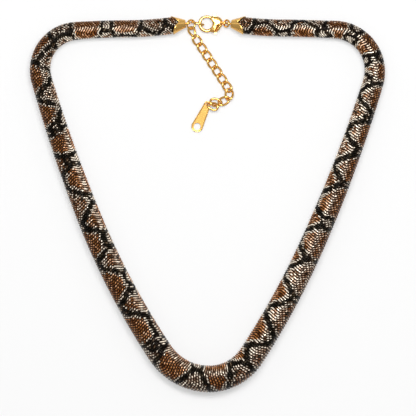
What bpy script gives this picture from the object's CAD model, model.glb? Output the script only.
"""Snake necklace: fine meshes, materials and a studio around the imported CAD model."""
import math

import bmesh
import bpy
from mathutils import Matrix, Vector, noise


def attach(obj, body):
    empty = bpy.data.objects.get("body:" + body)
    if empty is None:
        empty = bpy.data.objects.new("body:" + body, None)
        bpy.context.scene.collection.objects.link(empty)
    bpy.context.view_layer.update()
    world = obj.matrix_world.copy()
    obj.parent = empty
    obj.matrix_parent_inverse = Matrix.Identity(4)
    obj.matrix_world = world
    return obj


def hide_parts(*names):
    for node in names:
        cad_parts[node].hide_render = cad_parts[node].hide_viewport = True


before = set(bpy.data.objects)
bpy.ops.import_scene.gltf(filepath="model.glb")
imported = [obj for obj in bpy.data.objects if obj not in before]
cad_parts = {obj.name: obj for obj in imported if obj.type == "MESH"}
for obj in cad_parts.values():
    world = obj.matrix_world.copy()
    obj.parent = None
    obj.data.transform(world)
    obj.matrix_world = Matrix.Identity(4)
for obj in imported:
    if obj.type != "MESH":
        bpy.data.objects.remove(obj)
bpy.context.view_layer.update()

MM = 0.001

# Values shared with part.scad: lengths are in millimetres and angles in degrees
# Moves the whole necklace so that its box is centred on the origin
BOX_SHIFT = (0.1, -0.43, 0)
# Where the chain's route starts, at the middle of the front
FRONT = (0.5, -64.4)
# Each half of the route from the front to a cap. Columns: length, turn
LEFT_HALF = ((21.3, 56.5), (56, 11.6), (53.7, 5.6), (25, 101.6), (18, 4.5), (17.6, -7.5), (2.4, 0))
RIGHT_HALF = ((18.4, 56.8), (46.2, 9), (64, 7.1), (27.6, 104.1), (19.5, 2.5), (14, -6.5), (2.4, 0))
LEFT_LENGTH = sum(row[0] for row in LEFT_HALF)
CHAIN_LENGTH = LEFT_LENGTH + sum(row[0] for row in RIGHT_HALF)
# Diameter of the chain at its ends and at the front
END_D = 6.2
FRONT_D = 10
# How the chain grows. Columns: distance from its end, share of the way from END_D to FRONT_D
GROWTH = ((0, 0), (32, 0.04), (62, 0.39), (92, 0.57), (122, 0.76), (152, 0.86), (194, 1))
# How the chain's end is rounded off. Columns: distance from its end, share of its diameter
END_ROUNDING = ((0, 0.45), (0.8, 0.76), (1.6, 0.9), (2.4, 0.98), (4, 1))
# How the caps lift the chain. Columns: distance from its end, height over the surface
END_LIFT = ((0, 0.28), (2.4, 0.43), (14, 0))

# Places of the rings, links, caps and tag. Columns: x, y, z, heading, pitch, roll
LEFT_RING_AT = (-6.13, 65.85, 2.16, 5, -35, 8)
RIGHT_RING_AT = (6.95, 66.25, 2.35, -10, 45, 0)
HOOK_LINK_AT = (-3.75, 66.3, 1.6, -13, 0, 93)
FIRST_LINK_AT = (-5.6, 62.9, 1.65, -67, -6, 47)
# The links between the first and the last four lie in a straight row
STRAIGHT_START = (-3.9, 60)
STRAIGHT_HEADING = -57
STRAIGHT_LINKS = 7
STRAIGHT_Z = 0.8
SECOND_LINK_Z = 0.95
SECOND_LINK_PITCH = -5
# The last four
LAST_LINKS_AT = (
    (7.9, 40.2, 1.15, -95, 15, 5),
    (6, 37.8, 1.1, -155, 0, -10),
    (3, 37.2, 1.35, -190, 15, -10),
    (1.7, 35.9, 1.6, -200, -15, 30),
)
LEFT_CAP_AT = (-13.1, 65.5, 3.53, 8, -4, 0)
RIGHT_CAP_AT = (13.5, 65.48, 3.53, 173, -4, 0)
TAG_AT = (-0.1, 36.5, 1.2, -115, -4, 0)

# Rings and links
RING_WIRE_D = 0.56
LEFT_RING_R = 1.7
RIGHT_RING_R = 1.27
LINK_WIRE_D = 0.66
LINK_A = 2.12
LINK_B = 1.35
LINK_TWIST = 0.46
LINK_PITCH = 3.37
HOOK_LINK_A = LINK_A + 0.03
HOOK_LINK_B = LINK_B - 0.2

# End caps and tabs
CAP_MOUTH_R = 3.5
CAP_TIP_R = 1.8
CAP_LENGTH = 5
INNER_LENGTH = CAP_LENGTH - 0.5
CAP_WALL = 0.3
MOUTH_CUT = 2.6
MOUTH_TURN = 25
CAP_TAB_X = 5.85
TAB_HOLE_R = 0.6
TAB_R = 1
TAB_T = 0.8

# Clasp
HOOK_MIDDLE = (-0.3, 66.15, 1.6)
HOOK_HOLE_R = 2
HOOK_ROD_D = 1.24
HOOK_R = HOOK_HOLE_R + HOOK_ROD_D / 2
PIVOT = (3.7, 0.8)
HUB_R = 0.8
NUB_AT = (3.1, -3.4)
CLASP_TAB_X = 6.4
CLASP_TAB_Y = 0.25
LEVER_T = 1
LEVER_GAP = 0.14
CLAW_FROM = 115
CLAW_TO = 322
GATE_FROM = 40
GATE_TO = 135
GATE_REACH = 5.35
GATE_GAP = 0.15
BODY_OUTLINE = (
    (1.3, 2.9), (2.6, 2.95), (4.2, 2.7), (5.1, 2.1), (5.7, 1.3), (5.8, 0.8),
    (5.8, -0.3), (5.4, -1.1), (4.7, -2.1), (3.9, -3), (2.8, -3.2), (1.1, -3.05),
)
# The groove is a little wider than part.scad's, so that it shows
GROOVE_OUTLINE = (
    (2.5, -2.6), (2.9, -0.85), (4.5, 0.15), (6, 0.65),
    (6, 0.2), (4.9, -0.5), (4.1, -1.55), (3.5, -2.6),
)
SLOT_OUTLINE = (
    (0.5, 0.4), (3.2, -0.5), (4.9, -0.2), (4.9, 1.6), (3.7, 2.4), (3.6, 3.6), (0.5, 3.6),
)
LEVER_OUTLINE = (
    (1.7, 1.5), (2.2, 2.3), (2.4, 4.1), (3.2, 4.1), (3.4, 2.2), (4.2, 1.3), (3.7, 0.1), (2.6, 0.9),
)

# Tag
TAG_LENGTH = 8.95
TAG_SMALL_R = 1.25
TAG_LARGE_R = 2.15
TAG_T = 0.7
RIM_W = 0.35
RIM_H = 0.12
SMALL_HOLE_R = TAG_SMALL_R - 0.5
LARGE_HOLE_R = TAG_LARGE_R - 0.9

# Looks of the gold pieces: how much thicker their wire is than the solids'
EXTRA_LINK_WIRE = 0.2
EXTRA_RING_WIRE = 0.14
# Neck of a tab: half its width where it starts and where it meets the ring, how far that is from
# the ring's middle, and half its thickness
NECK_WIDE = 0.85
NECK_NARROW = 0.62
NECK_MEETS = 0.72
NECK_THICK = 0.36
# How far a tab's neck reaches from the ring's middle, on a cap and on the clasp
CAP_NECK = CAP_TAB_X - CAP_LENGTH + 0.2
CLASP_NECK = 0.9
# The cap's cone is drawn with this many sides, and its tip is narrower than the solid's
CAP_SIDES = 120
CAP_NARROWER = 0.35
# Places along the cap's outside and its inside, as shares of its length behind the mouth
CAP_OUTSIDE = (1, 0.9, 0.75, 0.6, 0.45, 0.3, 0.18, 0.08)
CAP_INSIDE = (0.1, 0.5, 1)
# Half the width of the mouth's cut as a share of the mouth's diameter, 1 mm before the mouth, and
# how much gentler the drawn cut is
CUT_HALF = 0.57
CUT_GENTLER = 0.92
# How soft the cap's lip is, how deep its seam is, and half the seam's width as a share of the
# radius
LIP = 0.12
SEAM_DEPTH = 0.22
SEAM_HALF = 0.045
# The dome of the clasp's faces. Columns: share of the outline's size, half height
DOME_MIDDLE = (3.8, -0.1)
DOME = ((0.2, 1.3), (0.5, 1.25), (0.75, 1.1), (0.9, 0.85), (1, 0.5))
# Heights of the groove's bottom along the two long edges of its outline
GROOVE_DEEP = -0.5
GROOVE_SHALLOW = 0.75
# The clasp's lower nub and its pin: radius and half the length
NUB_R = 0.5
NUB_HALF = 0.55
PIN_R = 0.33
PIN_HALF = 1.2
LEVER_HOLE_R = 0.4
# Size of the grid that turns the clasp's body, or the lever and the tag, into one cast skin
BODY_GRID = 0.055
SMALL_GRID = 0.06
# Higher than any piece of the clasp
OVER = 3

# The snake chain's plates
ROW_PITCH = 0.95
ROWS = round(CHAIN_LENGTH / ROW_PITCH)
# The chain's three pieces. Columns: name, share of its rows where it starts and where it ends
CHAIN_PARTS = (("left", 0, 0.36), ("front", 0.36, 0.64), ("right", 0.64, 1))
# Angles around the chain: fine steps over the top, and coarse ones underneath
TOP_REACH = 102
TOP_STEPS = 68
UNDER_STEPS = 17
ANGLES = ([-TOP_REACH + 2 * TOP_REACH * k / TOP_STEPS for k in range(TOP_STEPS + 1)]
          + [TOP_REACH + (360 - 2 * TOP_REACH) * k / UNDER_STEPS for k in range(1, UNDER_STEPS)])
# Profile of one row. Columns: share of the pitch, depth under the crest, brightness of the print
ROW_PROFILE = ((0, 0.6, 0), (0.2, 0.3, 0.04), (0.34, 0.07, 0.9), (0.5, 0, 1), (0.66, 0.07, 0.9),
               (0.8, 0.3, 0.04))
# Plates in one row around the chain, and how dark and how deep the joint between two of them is
PLATES_ROUND = 28
JOINT = 0.95
JOINT_DEPTH = 0.1
# Where a joint starts and how far it takes to be full, as shares of half a plate, and how much
# wider it is where the plates look apart like beads
JOINT_START = 0.3
JOINT_RAMP = 0.45
JOINT_WIDER = 0.17
# How strong the joints are where the plates don't look apart
JOINT_FAINT = 0.3
# How far the beads reach towards the inside, past the fold, and over what angle they fade out.
# Columns: distance along the chain, angle
BEADED = ((8, 90), (14, 20), (38, 20), (50, 90), (80, 60), (92, 20), (372, 20), (378, 90))
BEADS_FADE = 25
# How far one end of a plate can stand over its other end
TILT = 0.22
# How far the crests stand over the chain's mean radius
CREST = 0.15
# How much of the solid's lift at the ends is used here
LIFT_SHARE = 0.8
# How far the rows zigzag along the chain. Columns: distance along the chain, half the swing
ZIGZAG = ((0, 0.7), (150, 0.66), (185, 0.42), (215, 0.42), (235, 0.66), (386, 0.7))
ZIGZAGS_ROUND = 4
# How sharp the zigzag's folds are, and over what distance it starts at the chain's ends
ZIGZAG_SHARP = 0.55
ZIGZAG_START = 3
# How flat the plates are between two folds, and how deep the dent at a fold is
FLATNESS = 0.4
FOLD_DENT = 0.07
# Where the folds of the zigzag run. Columns: distance along the chain, angle from the top
FOLD_LINE = ((0, 18), (40, 18), (60, 12), (75, 0), (90, -3), (110, -12), (140, -15), (180, -20),
             (200, -18), (215, 0), (225, 5), (260, 5), (300, 8), (335, 15), (386, 18))
# How much the rows lean, as a slope. Columns: distance along the chain, slope
LEAN = ((0, 0), (205, 0), (225, 0.25), (370, 0.25), (384, 0))

# The printed scales are domes that grow from the inside or the outside of the loop. Columns:
# distance along the chain, side (1 outside, -1 inside), angle of the tip from the top towards the
# outside, half width at the base, fullness, share of cream, mottling
DOMES = (
    (2, 1, 20, 1.5, 2, 0, 0.4), (4.5, -1, -25, 2, 2, 0.1, 0.4), (9, 1, -18, 3.4, 3, 0.4, 0.9),
    (12.5, -1, -24, 2.6, 2, 0.1, 0.5), (19.5, 1, -47, 4.6, 3, 0.05, 0.4),
    (20, -1, -62, 3, 2, 0, 0.3), (26.5, -1, -28, 2, 2, 0.1, 0.4), (33.8, 1, -62, 4.9, 3, 0, 0.4),
    (43, 1, -8, 3.2, 3, 0.5, 1), (43.5, -1, -10, 3.2, 2.5, 0.3, 1),
    (51.3, 1, 5, 4.3, 2.5, 0, 0.4), (54, -1, -5, 4.3, 2.5, 0.3, 1),
    (62.5, 1, -40, 4.4, 2.4, 0, 0.3), (69, -1, 14, 4.4, 2.3, 0.25, 0.9),
    (75.8, 1, -45, 4.5, 2.5, 0, 0.4), (79, -1, -28, 2.4, 2, 0.3, 1),
    (87.3, -1, 64, 4.8, 2.2, 0, 0.3), (94.8, 1, 12, 2.6, 2.2, 0.1, 0.5),
    (95, -1, -14, 2.6, 2, 0.3, 1), (101.5, -1, 30, 6, 2.4, 0, 0.3),
    (111, 1, -18, 6, 1.8, 0.2, 0.8), (118, -1, 14, 4.9, 2, 0.05, 0.5),
    (126.2, 1, -18, 4.8, 2.8, 0, 0.4), (126.5, -1, -36, 2.6, 2, 0.4, 1),
    (134.3, -1, 14, 4.7, 2, 0.25, 0.7), (143, 1, -21, 6.1, 2.8, 0, 0.3),
    (143, -1, -52, 3.2, 2, 0.1, 0.6), (152.5, -1, 20, 5.2, 2, 0.15, 0.6),
    (160.9, 1, -26, 6.1, 2.8, 0, 0.3), (163, -1, -44, 4.4, 2, 0.15, 0.8),
    (170.7, 1, 10, 2.6, 2.4, 0.4, 0.9), (179, -1, 60, 6.8, 1.9, 0, 0.25),
    (188.5, -1, -56, 2.8, 2, 0.3, 1), (189.4, 1, -8, 4.6, 1.9, 0.6, 0.8),
    (197.3, -1, 58, 6, 2, 0, 0.3), (204.3, 1, -22, 3.8, 2.6, 0.35, 1),
    (209.3, -1, -26, 4, 2.4, 0, 0.4), (214.8, 1, -12, 4.3, 2.4, 0.35, 1),
    (221.8, -1, 20, 5.8, 2.2, 0, 0.25), (230.3, 1, -29, 6.6, 2.3, 0.25, 0.7),
    (238, -1, 5, 4.8, 2.3, 0, 0.3), (246.7, 1, -50, 7, 2, 0.35, 0.7),
    (252.6, -1, -19, 3.3, 2.6, 0, 0.3), (260.2, 1, -50, 5.9, 2.6, 0.15, 0.6),
    (267.6, -1, -19, 3.1, 2.4, 0.05, 0.4), (276.4, 1, -50, 5.7, 2.8, 0.05, 0.5),
    (283.8, -1, -14, 4.2, 2.2, 0.05, 0.5), (290.2, 1, -32, 4.4, 2.6, 0, 0.3),
    (296.3, -1, 2, 4.3, 2.4, 0.3, 1), (304, 1, -28, 4.5, 2.8, 0, 0.4),
    (310.7, -1, 18, 4.6, 2.2, 0.25, 1), (317.6, 1, -38, 4.4, 2.6, 0, 0.3),
    (322.3, -1, -16, 2.8, 2, 0.6, 0.8), (327.1, 1, -46, 3.2, 3, 0, 0.3),
    (337.4, 1, -66, 4, 3.4, 0, 0.4), (349.7, 1, -62, 4, 3.4, 0, 0.4),
    (357.6, 1, 20, 3.6, 2, 0.5, 1), (362.2, -1, 34, 5, 2.4, 0, 0.4),
    (370.6, 1, -12, 4.6, 2.4, 0.2, 0.9), (376, -1, 17, 4.8, 2, 0, 0.5),
    (384, 1, -14, 3, 2.4, 0.2, 0.9),
)
# Small spots between the domes. Columns: distance along the chain, angle from the top towards the
# outside, half length, half height in degrees, fullness, share of cream, mottling
SPOTS = (
    (26.2, 32, 1.2, 34, 2, 1, 0.3), (81.7, 10, 1.5, 22, 2, 0.9, 0.6),
    (82.5, 35, 0.8, 30, 2, 1, 0.3), (148, -50, 2, 14, 2, 0.6, 0.6),
    (170, -30, 0.6, 34, 2, 1, 0.4), (238.6, 52, 0.7, 16, 2, 1, 0.3),
    (268.2, 35, 1.7, 18, 2, 1, 0.4), (309, 40, 0.8, 22, 2, 0.9, 0.4),
    (331.4, 62, 1.2, 22, 2, 1, 0.3), (331.8, -48, 1.6, 18, 2, 1, 0.3),
    (332, -8, 0.7, 14, 2, 1, 0.2), (343.2, 0, 0.6, 9, 2, 1, 0.2), (343.2, 60, 1.9, 30, 2, 1, 0.4),
    (343.4, -38, 1.8, 20, 2, 1, 0.3), (354, 10, 0.6, 12, 2, 1, 0.2),
    (354.6, -44, 1.8, 18, 2, 1, 0.3), (369.6, -50, 2, 18, 2, 0.9, 0.5),
    (377.8, 58, 1.6, 20, 2, 1, 0.3),
)
# Angle at which a scale's base lies, and how far every scale reaches over its charted edge
DOME_BASE = 88
SPREAD = 0.85
# How far from a row its scales are looked for, and how many half widths a scale can reach
NEAR = 20
HALF_WIDTHS = 2.2
# Where the chain is palest. Columns: distance along the chain, angle from the top
STREAK = ((0, 8), (40, 10), (55, -10), (75, -40), (175, -45), (195, -30), (212, 0), (240, 8),
          (300, 5), (335, 5), (386, 8))
STREAK_HALF = 24
# How pale it is there, and how near the ends it fades. Columns: distance along the chain, share
PALENESS = ((0, 0.55), (45, 0.55), (60, 1), (330, 1), (345, 0.75), (386, 0.75))
STREAK_FADE = 15
# Colours of the print, and the share of metal in each
BROWN = (0.45, 0.175, 0.046)
DARK_BROWN = (0.2, 0.06, 0.016)
BROWN_METAL = 0.5
CREAM = (1, 0.89, 0.73)
CREAM_METAL = 0.45
BLACK = (0.03, 0.023, 0.015)
BLACK_METAL = 0.3
# Pale plates in the black, and how pale they are
FLECK_METAL = 0.4
FLECK_TONE = 0.75
# The gaps between rows and plates, which are never brighter than this share of the print there
GAP = (0.018, 0.006, 0.002)
GAP_SHARE = 0.15
# Width of the pale edge of a scale
BORDER = 0.75
# Width of the black line between two scales at the front, and the part of it that doesn't grow
# with the chain
BLACK_LINE = 1.45
FIXED_LINE = 0.4
# How deep in the black the pale dots start, and the shares of plates without a dot and without
# the pale edge
DOT_DEPTH = 0.75
DOTLESS = 0.35
EDGELESS = 0.15
# Size of the coarse and the fine clouds in the print, and the shift between them
COARSE = 0.5
FINE = 1.5
FINE_SHIFT = (40, 11, 5)
CLOUD_LAYER = 3.7

# Camera, floor and light, in metres and watts. The sensor's width is in millimetres
CAMERA_HEIGHT = 2
FOCUS_HEIGHT = 0.004
SENSOR = 36
VIEW_WIDTH = 0.1529
VIEW_MIDDLE = (0.0002, -0.00205)
TABLE_HALF = 3
TABLE_DROP = 0.00002
TABLE_GREY = 0.3
TABLE_GLOW = 0.445
SKY_LIGHT = 0.38
# The lamps. Columns: name, place, size, power
LAMPS = (
    ("softbox", (0.03, 0.21, 0.85), (0.5, 0.3), 10.9),
    ("overhead", (0, 0.1, 2.3), (1.4, 1.4), 5),
    ("window_left", (-1.2, 0.8, 1.25), (0.9, 0.7), 1.5),
    ("window_right", (1.2, 0.8, 1.25), (0.9, 0.7), 1.5),
)


# Numbers and colours
def lookup(x, table):
    """Value of a table at x, on straight lines between its rows."""
    if x <= table[0][0]:
        return table[0][1]
    for (x0, y0), (x1, y1) in zip(table, table[1:]):
        if x <= x1:
            return y0 + (y1 - y0) * (x - x0) / (x1 - x0)
    return table[-1][1]


def clamp(x):
    """A value kept between 0 and 1."""
    return max(0, min(1, x))


def toned(share, colour):
    """A colour made darker or brighter."""
    return tuple(share * c for c in colour)


def mixed(first, second, share):
    """A colour between two others, at a share of the way to the second."""
    return tuple(a + share * (b - a) for a, b in zip(first, second))


# Mesh helpers
def mesh_from(name, points, faces):
    """A mesh whose faces all point outwards."""
    mesh = bpy.data.meshes.new(name)
    mesh.from_pydata(points, [], faces)
    shape = bmesh.new()
    shape.from_mesh(mesh)
    bmesh.ops.recalc_face_normals(shape, faces=shape.faces)
    shape.to_mesh(mesh)
    shape.free()
    return mesh


def ring_faces(first, second, count):
    """Quads between two closed rings of points that start at two indexes."""
    return [(first + k, second + k, second + (k + 1) % count, first + (k + 1) % count)
            for k in range(count)]


def skin(name, rings, closed=False):
    """A mesh over rings of points. Open ends are closed by one face, and a closed row joins up."""
    count = len(rings[0])
    points = [p for ring in rings for p in ring]
    faces = []
    last = (len(rings) - 1) * count
    for i in range(len(rings) - 1):
        faces += ring_faces(i * count, (i + 1) * count, count)
    if closed:
        faces += ring_faces(last, 0, count)
    else:
        faces += [tuple(range(count)), tuple(range(last, last + count))]
    return mesh_from(name, points, faces)


def scratch(mesh):
    """A temporary object around a mesh."""
    obj = bpy.data.objects.new(mesh.name, mesh)
    bpy.context.scene.collection.objects.link(obj)
    return obj


def modified(obj):
    """The object's mesh with its modifiers applied. The object is deleted."""
    graph = bpy.context.evaluated_depsgraph_get()
    mesh = bpy.data.meshes.new_from_object(obj.evaluated_get(graph))
    bpy.data.objects.remove(obj)
    return mesh


def combine(mesh, other, operation):
    """Boolean of two meshes: UNION, DIFFERENCE or INTERSECT."""
    a, b = scratch(mesh), scratch(other)
    boolean = a.modifiers.new("boolean", "BOOLEAN")
    boolean.operation = operation
    boolean.object = b
    boolean.solver = "EXACT"
    result = modified(a)
    bpy.data.objects.remove(b)
    return result


def cast(mesh, voxel, smoothing):
    """Turns a mesh into one cast-looking skin with soft edges."""
    obj = scratch(mesh)
    remesh = obj.modifiers.new("remesh", "REMESH")
    remesh.mode = "VOXEL"
    remesh.voxel_size = voxel
    soften = obj.modifiers.new("soften", "SMOOTH")
    soften.factor = 0.5
    soften.iterations = smoothing
    return modified(obj)


def prism(outline, low, high):
    """An upright prism."""
    return skin("prism", [[(x, y, z) for x, y in outline] for z in (low, high)])


def disc(radius, low, high, at=(0, 0), sides=64):
    """An upright round prism."""
    return prism([(at[0] + radius * math.cos(2 * math.pi * k / sides),
                   at[1] + radius * math.sin(2 * math.pi * k / sides)) for k in range(sides)],
                 low, high)


def loop(middle, run, wire, stations, sides, flat=1.0):
    """A closed loop of round wire along middle(t), with run(t) its direction, t in radians."""
    rings = []
    for i in range(stations):
        t = 2 * math.pi * i / stations
        along = Vector(run(t)).normalized()
        out = along.cross(Vector((0, 0, 1))).normalized()
        up = out.cross(along)
        at = Vector(middle(t))
        rings.append([tuple(at + wire / 2 * (math.cos(a) * out + flat * math.sin(a) * up))
                      for a in (2 * math.pi * k / sides for k in range(sides))])
    return skin("loop", rings, closed=True)


def rod_arc(start, stop, rod, stations=48, sides=28):
    """Part of the hook's round rod between two angles."""
    rings = []
    for i in range(stations + 1):
        t = math.radians(start + (stop - start) * i / stations)
        rings.append([((HOOK_R + rod / 2 * math.cos(a)) * math.cos(t),
                       (HOOK_R + rod / 2 * math.cos(a)) * math.sin(t),
                       rod / 2 * math.sin(a))
                      for a in (2 * math.pi * k / sides for k in range(sides))])
    return skin("rod", rings)


def place(at):
    """Moves and turns a piece to a place given as x, y, z, heading, pitch and roll."""
    x, y, z, heading, pitch, roll = at
    return (Matrix.Translation((x + BOX_SHIFT[0], y + BOX_SHIFT[1], z + BOX_SHIFT[2]))
            @ Matrix.Rotation(math.radians(heading), 4, "Z")
            @ Matrix.Rotation(math.radians(-pitch), 4, "Y")
            @ Matrix.Rotation(math.radians(roll), 4, "X"))


def finish(name, mesh, material, nodes, body="necklace", matrix=None):
    """Makes a piece of the necklace from a mesh in millimetres."""
    if matrix is not None:
        mesh.transform(matrix)
    mesh.transform(Matrix.Scale(MM, 4))
    mesh.name = name
    for polygon in mesh.polygons:
        polygon.use_smooth = True
    mesh.materials.clear()
    mesh.materials.append(material)
    obj = bpy.data.objects.new(name, mesh)
    bpy.context.scene.collection.objects.link(obj)
    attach(obj, body)
    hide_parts(*nodes)


# Materials
def new_material(name):
    """A node material with its shader and a short way to add and link nodes."""
    material = bpy.data.materials.new(name)
    material.use_nodes = True
    tree = material.node_tree
    shader = tree.nodes["Principled BSDF"]

    def add(kind, **values):
        node = tree.nodes.new(kind)
        for key, value in values.items():
            if key in node.inputs:
                node.inputs[key].default_value = value
            else:
                setattr(node, key, value)
        return node
    return material, shader, add, tree.links.new


def gold_material():
    """Polished gold plating with a faint variation of colour, gloss and surface."""
    material, shader, add, link = new_material("gold_polished")
    shader.inputs["Metallic"].default_value = 0.85
    place_in = add("ShaderNodeTexCoord")
    cloudy = add("ShaderNodeTexNoise", Scale=260.0, Detail=2.0)
    tones = add("ShaderNodeValToRGB")
    tones.color_ramp.elements[0].color = (0.66, 0.375, 0.09, 1)
    tones.color_ramp.elements[1].color = (0.7, 0.42, 0.125, 1)
    gloss = add("ShaderNodeMapRange")
    gloss.inputs["To Min"].default_value = 0.13
    gloss.inputs["To Max"].default_value = 0.22
    grain = add("ShaderNodeTexNoise", Scale=2400.0, Detail=2.0)
    bump = add("ShaderNodeBump", Strength=0.02, Distance=0.00001)
    link(place_in.outputs["Object"], cloudy.inputs["Vector"])
    link(place_in.outputs["Object"], grain.inputs["Vector"])
    link(cloudy.outputs["Fac"], tones.inputs["Fac"])
    link(tones.outputs["Color"], shader.inputs["Base Color"])
    link(cloudy.outputs["Fac"], gloss.inputs["Value"])
    link(gloss.outputs["Result"], shader.inputs["Roughness"])
    link(grain.outputs["Fac"], bump.inputs["Height"])
    link(bump.outputs["Normal"], shader.inputs["Normal"])
    return material


def print_material():
    """The printed plates: brown metal with cream and black enamel, under a clear coat."""
    material, shader, add, link = new_material("snake_print_plates")
    shader.inputs["Specular IOR Level"].default_value = 0.2
    shader.inputs["Specular Tint"].default_value = (0.3, 0.24, 0.2, 1)
    shader.inputs["Coat Weight"].default_value = 0.05
    shader.inputs["Coat Roughness"].default_value = 0.12
    printed = add("ShaderNodeAttribute", attribute_name="snake_print")
    place_in = add("ShaderNodeTexCoord")
    worn = add("ShaderNodeTexNoise", Scale=900.0, Detail=3.0)
    shade = add("ShaderNodeMapRange")
    shade.inputs["To Min"].default_value = 0.45
    shade.inputs["To Max"].default_value = 1.55
    worn_print = add("ShaderNodeMix", data_type="RGBA", blend_type="MULTIPLY")
    worn_print.inputs["Factor"].default_value = 1
    gloss = add("ShaderNodeMapRange")
    gloss.inputs["To Min"].default_value = 0.2
    gloss.inputs["To Max"].default_value = 0.36
    link(place_in.outputs["Object"], worn.inputs["Vector"])
    link(worn.outputs["Fac"], shade.inputs["Value"])
    link(printed.outputs["Color"], worn_print.inputs["A"])
    link(shade.outputs["Result"], worn_print.inputs["B"])
    link(worn_print.outputs["Result"], shader.inputs["Base Color"])
    link(printed.outputs["Alpha"], shader.inputs["Metallic"])
    link(worn.outputs["Fac"], gloss.inputs["Value"])
    link(gloss.outputs["Result"], shader.inputs["Roughness"])
    return material


# Snake chain
def along_arc(state, row, side, distance):
    """State on an arc of the route, at a distance from the arc's start."""
    x, y, heading = state
    turn = row[1] * distance / row[0]
    half = math.radians(turn) / 2
    chord = distance * (math.sin(half) / half if abs(half) > 1e-6 else 1)
    aim = math.radians(heading + side * turn / 2)
    return x + chord * math.cos(aim), y + chord * math.sin(aim), heading + side * turn


def route(s):
    """Place and heading of the chain's middle line at the distance s from its left end."""
    left = s < LEFT_LENGTH
    rows, side = (LEFT_HALF, -1) if left else (RIGHT_HALF, 1)
    state = (FRONT[0], FRONT[1], 180 if left else 0)
    rest = abs(s - LEFT_LENGTH)
    for row in rows:
        if rest <= row[0] or row is rows[-1]:
            x, y, heading = along_arc(state, row, side, rest)
            return x, y, heading + (180 if left else 0)
        state = along_arc(state, row, side, row[0])
        rest -= row[0]


def chain_point(s, angle, depth):
    """Point of the chain's surface, as far under its full radius as the depth."""
    x, y, heading = route(s)
    from_end = min(s, CHAIN_LENGTH - s)
    full = (END_D + (FRONT_D - END_D) * lookup(from_end, GROWTH)) / 2 + CREST
    column = 180 / ZIGZAGS_ROUND
    off = (angle - lookup(s, FOLD_LINE)) % column - column / 2
    facet = math.cos(math.radians(column / 2)) / math.cos(math.radians(off))
    # The dent takes up the last fifth of the way to a fold
    dent = FOLD_DENT * max(0, abs(off) / (column / 2) * 5 - 4)
    radius = full * lookup(from_end, END_ROUNDING) * (1 + FLATNESS * (facet - 1)) - depth - dent
    z = full + lookup(from_end, END_LIFT) * LIFT_SHARE
    h, a = math.radians(heading), math.radians(angle)
    out = radius * math.sin(a)
    return (x + out * math.sin(h) + BOX_SHIFT[0], y - out * math.cos(h) + BOX_SHIFT[1],
            z + radius * math.cos(a))


def zigzag(s, angle):
    """How far a row of plates is moved along the chain at an angle from the top."""
    turn = math.radians(ZIGZAGS_ROUND * (angle - lookup(s, FOLD_LINE)))
    wave = math.cos(turn)
    fold = 2 / math.pi * math.asin(max(-1, min(1, wave)))
    ends = min(1, s / ZIGZAG_START, (CHAIN_LENGTH - s) / ZIGZAG_START)
    return -lookup(s, ZIGZAG) * ends * ((1 - ZIGZAG_SHARP) * wave + ZIGZAG_SHARP * fold)


def lean(s, angle):
    """How far a row is moved along the chain because the whole row leans."""
    return lookup(s, LEAN) * END_D / 2 * math.sin(math.radians(angle))


def all_scales():
    """Every scale as an oval: place, angle, half length, half height, fullness, cream, mottling."""
    scales = [(s, side * DOME_BASE, width, abs(side * DOME_BASE - tip), fullness, cream, mottled)
              for s, side, tip, width, fullness, cream, mottled in DOMES]
    return sorted(scales + list(SPOTS))


def nearest_scales(s, angle, arc, scales):
    """Distances to the edges of the two nearest scales, below 0 inside, and the nearest scale."""
    first, second, best = 99, 99, None
    for scale in scales:
        place_on, turn, half_length, half_height, fullness = scale[:5]
        if abs(s - place_on) > HALF_WIDTHS * half_length:
            continue
        along = abs(s - place_on) / half_length
        round_it = abs((angle - turn + 180) % 360 - 180) / half_height
        reach = (along ** fullness + round_it ** fullness) ** (1 / fullness)
        edge = (reach - 1) * min(half_length, half_height * arc)
        if edge < first:
            first, second, best = edge, first, scale
        elif edge < second:
            second = edge
    return first, second, best


def print_colour(s, angle, plate, scales):
    """Colour and metal share of the print at a place on one plate, whose random value is given."""
    radius = (END_D + (FRONT_D - END_D) * lookup(min(s, CHAIN_LENGTH - s), GROWTH)) / 2
    arc = math.radians(1) * radius
    line = BLACK_LINE * (FIXED_LINE + (1 - FIXED_LINE) * radius / (FRONT_D / 2))
    first, second, best = nearest_scales(s, angle, arc, scales)
    where = Vector((s, angle * arc, CLOUD_LAYER))
    coarse = noise.noise(where * COARSE)
    fine = noise.noise(where * FINE + Vector(FINE_SHIFT))
    inside = min(SPREAD - first, (second - first - line) / 2) + 0.5 * (plate - 0.5)
    pale = max(0, 1 - abs(angle - lookup(s, STREAK)) / STREAK_HALF)
    pale *= lookup(s, PALENESS) * min(1, s / STREAK_FADE, (CHAIN_LENGTH - s) / STREAK_FADE)
    if inside < -DOT_DEPTH and plate > DOTLESS:
        return toned(0.5 + 0.5 * plate, CREAM), CREAM_METAL
    if inside < 0:
        if plate + 0.5 * coarse > 1.2 - 0.4 * pale:
            return toned(FLECK_TONE, CREAM), FLECK_METAL
        # A few of the black plates are much brighter than the others
        return toned(0.3 + 5 * plate ** 6, BLACK), BLACK_METAL
    if inside < BORDER and plate > EDGELESS:
        return toned(0.8 + 0.2 * plate, CREAM), CREAM_METAL
    cream, mottled = best[5:]
    if mottled * (0.7 - plate - 0.6 * fine) > 0.5:
        return BLACK, BLACK_METAL
    brown = mixed(BROWN, DARK_BROWN, clamp(0.1 - 1.2 * coarse - fine))
    share = clamp(cream + mottled * (plate - 0.55 + 0.9 * fine + 0.5 * coarse))
    share = max(share, clamp(pale * (0.3 + 0.8 * plate + 0.5 * fine)))
    shade = max(0.2, 1 + 1.4 * (plate - 0.5) + 0.6 * fine)
    return toned(shade, mixed(brown, CREAM, share)), BROWN_METAL


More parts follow.
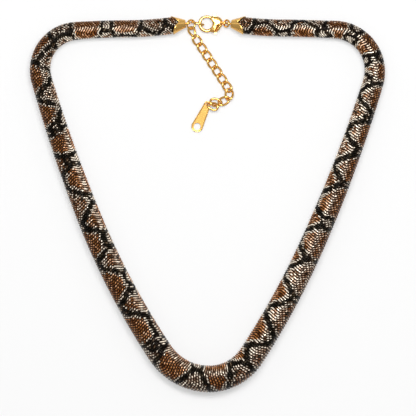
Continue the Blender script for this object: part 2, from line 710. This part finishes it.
def chain_part(name, first_row, last_row, material):
    """The chain's rows of plates from one row to another, as one piece with its print."""
    scales = all_scales()
    rings, colours = [], []
    stations = [(row + share, depth, shade) for row in range(first_row, last_row)
                for share, depth, shade in ROW_PROFILE] + [(last_row, *ROW_PROFILE[0][1:])]
    pitch = CHAIN_LENGTH / ROWS
    for station, depth, shade in stations:
        s0 = station * pitch
        near = [scale for scale in scales if abs(scale[0] - s0) < NEAR]
        row = int(station)
        ring = []
        for angle in ANGLES:
            s = s0 + zigzag(s0, angle) + lean(s0, angle)
            column = angle * PLATES_ROUND / 360 + 0.5 * (row % 2)
            off = abs(column % 1 - 0.5) * 2
            beaded = clamp((angle - lookup(s, FOLD_LINE) + lookup(s, BEADED)) / BEADS_FADE)
            joint = (clamp((off - JOINT_START + JOINT_WIDER * beaded) / JOINT_RAMP)
                     * (JOINT_FAINT + (1 - JOINT_FAINT) * beaded))
            plate = 0.5 + 0.5 * noise.cell(Vector((row + 0.5, math.floor(column) + 0.5, 0.5)))
            tilt = (plate - 0.5) * (column % 1 - 0.5)
            ring.append(chain_point(s, angle, depth + JOINT_DEPTH * joint + TILT * tilt))
            colour, metal = print_colour(s, angle, plate, near)
            light = shade * (1 - JOINT * joint)
            low = [min(gap, GAP_SHARE * c) for c, gap in zip(colour, GAP)]
            colours.append((*mixed(low, colour, light), metal * light))
        rings.append(ring)
    mesh = skin(name, rings)
    layer = mesh.color_attributes.new("snake_print", "FLOAT_COLOR", "POINT")
    layer.data.foreach_set("color", [value for colour in colours for value in colour])
    finish(name, mesh, material, ["snake_chain"])


# Gold pieces
def tab(at_x, web):
    """An upright ring with a short neck to what is at its left."""
    mean, half = (TAB_R + TAB_HOLE_R) / 2, (TAB_R - TAB_HOLE_R) / 2
    ring = loop(lambda t: (mean * math.cos(t), mean * math.sin(t), 0),
                lambda t: (-math.sin(t), math.cos(t), 0), 2 * half, 48, 20, TAB_T / 2 / half)
    ring.transform(Matrix.Rotation(math.radians(90), 4, "X"))
    neck = prism([(-web, -NECK_WIDE), (-NECK_MEETS, -NECK_NARROW), (-NECK_MEETS, NECK_NARROW),
                  (-web, NECK_WIDE)], -NECK_THICK, NECK_THICK)
    neck.transform(Matrix.Rotation(math.radians(90), 4, "X"))
    both = combine(ring, neck, "UNION")
    both.transform(Matrix.Translation((at_x, 0, 0)))
    return both


def outer_radius(x):
    """The cap's outer radius at the distance x from its mouth."""
    return CAP_MOUTH_R + (CAP_TIP_R - CAP_NARROWER - CAP_MOUTH_R) * x / CAP_LENGTH


def cap_profile(start):
    """The cap's wall from its tip, round the lip at the start and back: distances and radii."""
    profile = []
    for share in CAP_OUTSIDE:
        x = start + LIP + share * (CAP_LENGTH - start - LIP)
        profile.append((x, outer_radius(x)))
    lip_r = outer_radius(start)
    profile += [(start + 0.05, lip_r - 0.02), (start, lip_r - LIP), (start + 0.05, lip_r - 0.26)]
    for share in CAP_INSIDE:
        x = start + 0.1 + share * (INNER_LENGTH - start)
        profile.append((x, outer_radius(x) - CAP_WALL))
    return profile


def cap_shell():
    """The cap's cone along +X, with its fish-mouth cut and the seam behind it."""
    turn = math.radians(-MOUTH_TURN)
    cut_slope = (MOUTH_CUT + 1) / (CUT_HALF * 2 * CAP_MOUTH_R)
    rings = []
    for k in range(CAP_SIDES):
        a = math.radians(360 * k / CAP_SIDES)
        y1, z1 = math.sin(a), math.cos(a)
        start = max(0, MOUTH_CUT - cut_slope * abs(y1) * CAP_MOUTH_R * CUT_GENTLER)
        on_seam = z1 > 0 and abs(y1) < SEAM_HALF
        ring = []
        for x, r in cap_profile(start):
            outside = r > outer_radius(x) - 0.05
            if on_seam and outside and start + 0.3 < x < INNER_LENGTH:
                r -= SEAM_DEPTH
            y, z = r * y1, r * z1
            ring.append((x, y * math.cos(turn) - z * math.sin(turn),
                         y * math.sin(turn) + z * math.cos(turn)))
        rings.append(ring)
    count = len(rings[0])
    points = [p for ring in rings for p in ring]
    faces = []
    for i in range(len(rings)):
        a, b = i * count, (i + 1) % len(rings) * count
        faces += [(a + k, a + k + 1, b + k + 1, b + k) for k in range(count - 1)]
    # The tip is closed outside and inside by a low point on the axis
    for k, x in ((0, CAP_LENGTH + 0.12), (count - 1, CAP_LENGTH - 0.45)):
        middle = len(points)
        points.append((x, 0, 0))
        faces += [(i * count + k, (i + 1) % len(rings) * count + k, middle)
                  for i in range(len(rings))]
    return mesh_from("cap", points, faces)


def end_cap():
    """A cap with its tab, one mesh."""
    shape = bmesh.new()
    shape.from_mesh(cap_shell())
    shape.from_mesh(tab(CAP_TAB_X, CAP_NECK))
    mesh = bpy.data.meshes.new("end_cap")
    shape.to_mesh(mesh)
    shape.free()
    return mesh


def flip(mesh):
    """Mirrors a mesh in Y."""
    mesh.transform(Matrix.Scale(-1, 4, (0, 1, 0)))
    mesh.flip_normals()
    return mesh


def smooth_outline(corners, rounds):
    """Rounds an outline's corners by cutting them."""
    for _ in range(rounds):
        cut = []
        for (x0, y0), (x1, y1) in zip(corners, corners[1:] + corners[:1]):
            cut += [(0.75 * x0 + 0.25 * x1, 0.75 * y0 + 0.25 * y1),
                    (0.25 * x0 + 0.75 * x1, 0.25 * y0 + 0.75 * y1)]
        corners = cut
    return corners


def pillow(outline, middle, heights):
    """A solid with domed faces. Heights has columns: share of the outline's size, half height."""
    rings = []
    for side in (1, -1):
        half = [[(middle[0] + share * (x - middle[0]), middle[1] + share * (y - middle[1]),
                  side * z) for x, y in outline] for share, z in heights]
        rings += half if side > 0 else half[::-1]
    return skin("pillow", rings)


def gate_swing(radius):
    """The room about the pivot that the gate's tip swings through, above the pivot in Y."""
    steps = 96
    outline = [(PIVOT[0] + radius * math.cos(math.pi * k / steps),
                PIVOT[1] + radius * math.sin(math.pi * k / steps)) for k in range(steps + 1)]
    return prism(outline, -OVER, OVER)


def groove():
    """What the groove takes out of the clasp's body: a trough with a sloping bottom."""
    half = len(GROOVE_OUTLINE) // 2
    bottom = [(x, y, GROOVE_DEEP if k < half else GROOVE_SHALLOW)
              for k, (x, y) in enumerate(GROOVE_OUTLINE)]
    return skin("groove", [bottom, [(x, y, OVER) for x, y in GROOVE_OUTLINE]])


def clasp_body():
    """The clasp's fixed part: claw, domed cheeks, slot, groove, lower nub, pin and tab."""
    arc = [(HOOK_HOLE_R * math.cos(math.radians(a)), HOOK_HOLE_R * math.sin(math.radians(a)))
           for a in range(-60, 61, 6)]
    cheeks = pillow(smooth_outline(list(BODY_OUTLINE) + arc, 1), DOME_MIDDLE, DOME)
    claw = combine(rod_arc(CLAW_FROM, CLAW_TO, HOOK_ROD_D), gate_swing(GATE_REACH + GATE_GAP),
                   "DIFFERENCE")
    slot_half = LEVER_T / 2 + LEVER_GAP
    eye = tab(CLASP_TAB_X, CLASP_NECK)
    eye.transform(Matrix.Translation((0, CLASP_TAB_Y, 0)))
    body = combine(cheeks, claw, "UNION")
    body = combine(body, disc(NUB_R, -NUB_HALF, NUB_HALF, NUB_AT), "UNION")
    body = combine(body, prism(SLOT_OUTLINE, -slot_half, slot_half), "DIFFERENCE")
    body = combine(body, groove(), "DIFFERENCE")
    body = combine(body, disc(PIN_R, -PIN_HALF, PIN_HALF, PIVOT, 32), "UNION")
    body = combine(body, eye, "UNION")
    return cast(body, BODY_GRID, 6)


def clasp_lever():
    """The lever: its gate closes the hook, and its nub is pulled to open it."""
    half = LEVER_T / 2
    gate = combine(rod_arc(GATE_FROM, GATE_TO, LEVER_T), gate_swing(GATE_REACH), "INTERSECT")
    plate = prism(smooth_outline(list(LEVER_OUTLINE), 2), -half, half)
    lever = combine(gate, plate, "UNION")
    lever = combine(lever, disc(HUB_R, -half, half, PIVOT, 48), "UNION")
    lever = combine(lever, disc(LEVER_HOLE_R, -OVER, OVER, PIVOT, 32), "DIFFERENCE")
    return cast(lever, SMALL_GRID, 2)


def drop_outline(inset, steps=40):
    """Outline of the tag, drawn in by the inset."""
    r1, r2 = TAG_SMALL_R - inset, TAG_LARGE_R - inset
    flare = math.acos((r1 - r2) / TAG_LENGTH)
    points = []
    for k in range(steps + 1):
        a = flare + (2 * math.pi - 2 * flare) * k / steps
        points.append((r1 * math.cos(a), r1 * math.sin(a)))
    for k in range(steps + 1):
        a = -flare + 2 * flare * k / steps
        points.append((TAG_LENGTH + r2 * math.cos(a), r2 * math.sin(a)))
    return points


def tag():
    """The plain tag with a soft raised rim and a hole at each end."""
    half = TAG_T / 2
    # From the edge over the rim to the face. Columns: inset, half height
    rows = ((0.06, half - 0.04), (0.14, half), (RIM_W - 0.08, half), (RIM_W + 0.04, half - RIM_H))
    rings = []
    for side in (1, -1):
        face = [[(x, y, side * z) for x, y in drop_outline(inset)] for inset, z in rows[::-1]]
        edge = [[(x, y, side * (half - 0.14)) for x, y in drop_outline(0)]]
        rings += (face + edge) if side > 0 else (face + edge)[::-1]
    plate = skin("tag", rings)
    plate = combine(plate, disc(SMALL_HOLE_R, -1, 1), "DIFFERENCE")
    plate = combine(plate, disc(LARGE_HOLE_R, -1, 1, (TAG_LENGTH, 0)), "DIFFERENCE")
    return cast(plate, SMALL_GRID, 2)


def link_places():
    """Places of the extender's links, from the first to the last."""
    places = [FIRST_LINK_AT]
    turn = math.radians(STRAIGHT_HEADING)
    for i in range(STRAIGHT_LINKS):
        run = i * LINK_PITCH
        places.append((STRAIGHT_START[0] + run * math.cos(turn),
                       STRAIGHT_START[1] + run * math.sin(turn),
                       STRAIGHT_Z if i else SECOND_LINK_Z, STRAIGHT_HEADING,
                       0 if i else SECOND_LINK_PITCH, 0))
    return places + list(LAST_LINKS_AT)


def oval(a, b, twist):
    """A link: an oval loop of wire, twisted so that the links lie flat."""
    return loop(lambda t: (a * math.cos(t), b * math.sin(t), twist * math.sin(2 * t)),
                lambda t: (-a * math.sin(t), b * math.cos(t), 2 * twist * math.cos(2 * t)),
                LINK_WIRE_D + EXTRA_LINK_WIRE, 64, 16)


def round_ring(radius):
    """A round ring of wire."""
    return loop(lambda t: (radius * math.cos(t), radius * math.sin(t), 0),
                lambda t: (-math.sin(t), math.cos(t), 0), RING_WIRE_D + EXTRA_RING_WIRE, 64, 18)


def make_gold(material):
    """Every gold piece of the necklace."""
    def gold(name, mesh, at=None, body="necklace", matrix=None):
        where = place(at) if at else matrix
        finish(name + "_polished", mesh, material, [name], body, where)

    gold("left_end_cap", end_cap(), LEFT_CAP_AT)
    gold("right_end_cap", flip(end_cap()), RIGHT_CAP_AT)
    gold("left_ring", round_ring(LEFT_RING_R), LEFT_RING_AT)
    gold("right_ring", round_ring(RIGHT_RING_R), RIGHT_RING_AT)
    gold("hook_link", oval(HOOK_LINK_A, HOOK_LINK_B, 0), HOOK_LINK_AT)
    for i, at in enumerate(link_places()):
        gold(f"link_{i + 1:02d}", oval(LINK_A, LINK_B, LINK_TWIST), at)
    hook = Matrix.Translation(tuple(a + b for a, b in zip(HOOK_MIDDLE, BOX_SHIFT)))
    gold("clasp_body", clasp_body(), matrix=hook)
    gold("clasp_lever", clasp_lever(), body="lever", matrix=hook)
    gold("tag", tag(), TAG_AT)


# Floor, light and camera
def aim(obj, target):
    """Turns a light or a camera towards a point."""
    obj.rotation_euler = (Vector(target) - obj.location).to_track_quat("-Z", "Y").to_euler()


def area_light(name, at, size, power):
    """A lamp with a rectangular face, turned towards the necklace and unseen by the camera."""
    light = bpy.data.lights.new(name, "AREA")
    light.shape = "RECTANGLE"
    light.size, light.size_y = size
    light.energy = power
    obj = bpy.data.objects.new(name, light)
    bpy.context.scene.collection.objects.link(obj)
    obj.location = at
    obj.visible_camera = False
    aim(obj, (0, 0, 0))


def make_table():
    """The white surface under the necklace. It glows a little, as an overexposed one looks."""
    mesh = bpy.data.meshes.new("table_top")
    side = TABLE_HALF
    mesh.from_pydata([(-side, -side, 0), (side, -side, 0), (side, side, 0), (-side, side, 0)],
                     [], [(0, 1, 2, 3)])
    floor = bpy.data.objects.new("table_top", mesh)
    bpy.context.scene.collection.objects.link(floor)
    floor.location.z = -TABLE_DROP
    material, shader, _, _ = new_material("white_table")
    shader.inputs["Roughness"].default_value = 0.8
    shader.inputs["Specular IOR Level"].default_value = 0.1
    shader.inputs["Base Color"].default_value = (TABLE_GREY, TABLE_GREY, TABLE_GREY, 1)
    shader.inputs["Emission Color"].default_value = (1, 1, 1, 1)
    shader.inputs["Emission Strength"].default_value = TABLE_GLOW
    floor.data.materials.append(material)


def make_light():
    """Even light from all sides, a softbox and a large lamp above, and a window at each side."""
    world = bpy.data.worlds.new("studio")
    world.use_nodes = True
    background = world.node_tree.nodes["Background"]
    background.inputs["Color"].default_value = (1, 1, 1, 1)
    background.inputs["Strength"].default_value = SKY_LIGHT
    bpy.context.scene.world = world
    for lamp in LAMPS:
        area_light(*lamp)


def make_camera():
    """A camera straight above with a long lens, as in the photo."""
    scene = bpy.context.scene
    scene.view_settings.view_transform = "Standard"
    scene.view_settings.look = "None"
    camera = bpy.data.cameras.new("camera")
    camera.sensor_width = SENSOR
    camera.lens = SENSOR * CAMERA_HEIGHT / VIEW_WIDTH
    camera.clip_end = 20
    obj = bpy.data.objects.new("camera", camera)
    scene.collection.objects.link(obj)
    obj.location = (*VIEW_MIDDLE, CAMERA_HEIGHT + FOCUS_HEIGHT)
    scene.camera = obj


gold_plating = gold_material()
plates = print_material()
for part, first_share, last_share in CHAIN_PARTS:
    chain_part("snake_chain_" + part, round(first_share * ROWS), round(last_share * ROWS), plates)
make_gold(gold_plating)
make_table()
make_light()
make_camera()
